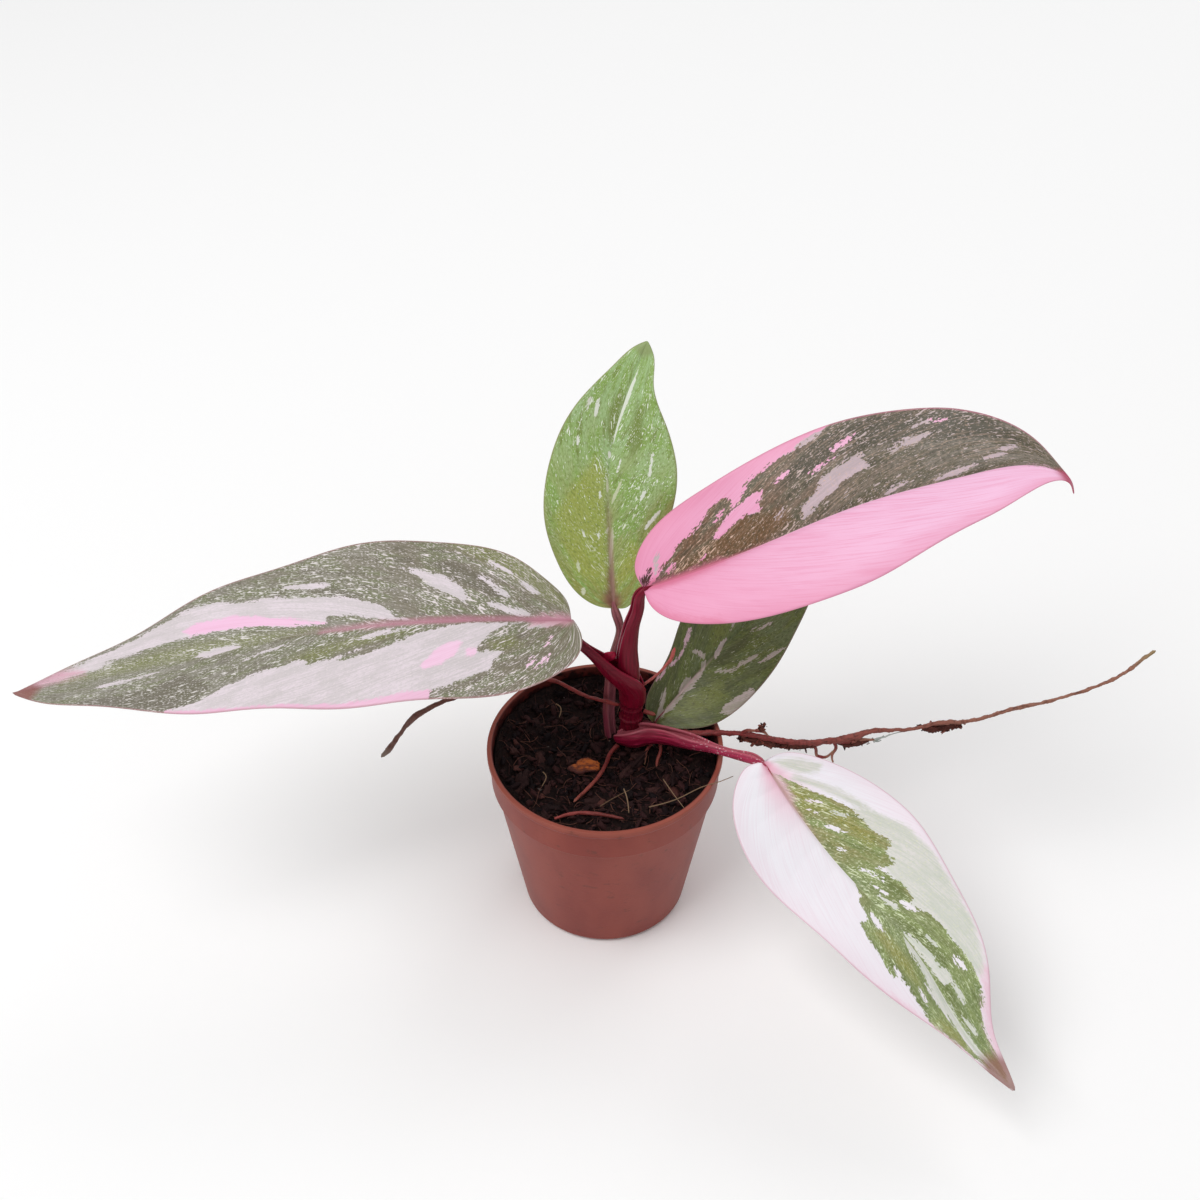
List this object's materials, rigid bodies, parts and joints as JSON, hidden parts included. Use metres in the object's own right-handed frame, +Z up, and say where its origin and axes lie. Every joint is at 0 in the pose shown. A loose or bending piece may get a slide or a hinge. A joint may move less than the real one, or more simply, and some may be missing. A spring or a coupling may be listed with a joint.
{
  "type": "potted pink princess philodendron",
  "caption": "Young pink princess philodendron with variegated pink, white and green leaves on maroon stalks, with aerial roots, in a small terracotta-coloured nursery pot.",
  "frame": {"origin": "centre of the pot's flat underside", "axes": "+Z up along the pot's axis, +X to the right, towards the pink leaf and the long aerial root, -Y to the front, where the white leaf droops"},
  "size_m": [0.2612, 0.1154, 0.1383],
  "materials": {
    "pot_plastic": "satin moulded plastic, terracotta colour",
    "peat": "damp crumbly potting mix, very dark brown",
    "stem_skin": "satin plant skin, dark maroon",
    "stalk_skin": "satin plant skin, maroon",
    "stalk_skin_pale": "satin plant skin, mauve pink",
    "stalk_skin_bright": "satin plant skin, crimson with pale edges",
    "leaf_left": "satin leaf, grey-green with pink and silvery-mauve patches",
    "leaf_upright": "satin leaf, fresh green with pale flecks",
    "leaf_pink": "satin leaf, one half pink and the other bronze-green",
    "leaf_back": "satin leaf, dark green with pale streaks",
    "leaf_white": "satin leaf, white-pink with green bands",
    "root_skin": "dull root skin, brick red",
    "root_skin_brown": "dull root skin, brown-red",
    "root_skin_salmon": "dull root skin, salmon",
    "bark": "rough bark, orange-brown"
  },
  "bodies": {
    "root": {"pot": "pot_plastic", "soil": "peat", "stem": "stem_skin", "petiole_pink": "stalk_skin", "petiole_left": "stalk_skin", "petiole_upright": "stalk_skin_pale", "petiole_back": "stalk_skin", "petiole_white": "stalk_skin_bright", "blade_left": "leaf_left", "blade_upright": "leaf_upright", "blade_pink": "leaf_pink", "blade_back": "leaf_back", "blade_white": "leaf_white", "root_long": "root_skin_brown", "root_left": "root_skin", "root_rising": "root_skin_salmon", "root_stub": "root_skin", "root_front": "root_skin", "root_loop": "root_skin_brown", "root_curl": "root_skin", "root_thin": "root_skin_brown", "bark_chip": "bark"}
  },
  "joints": []
}
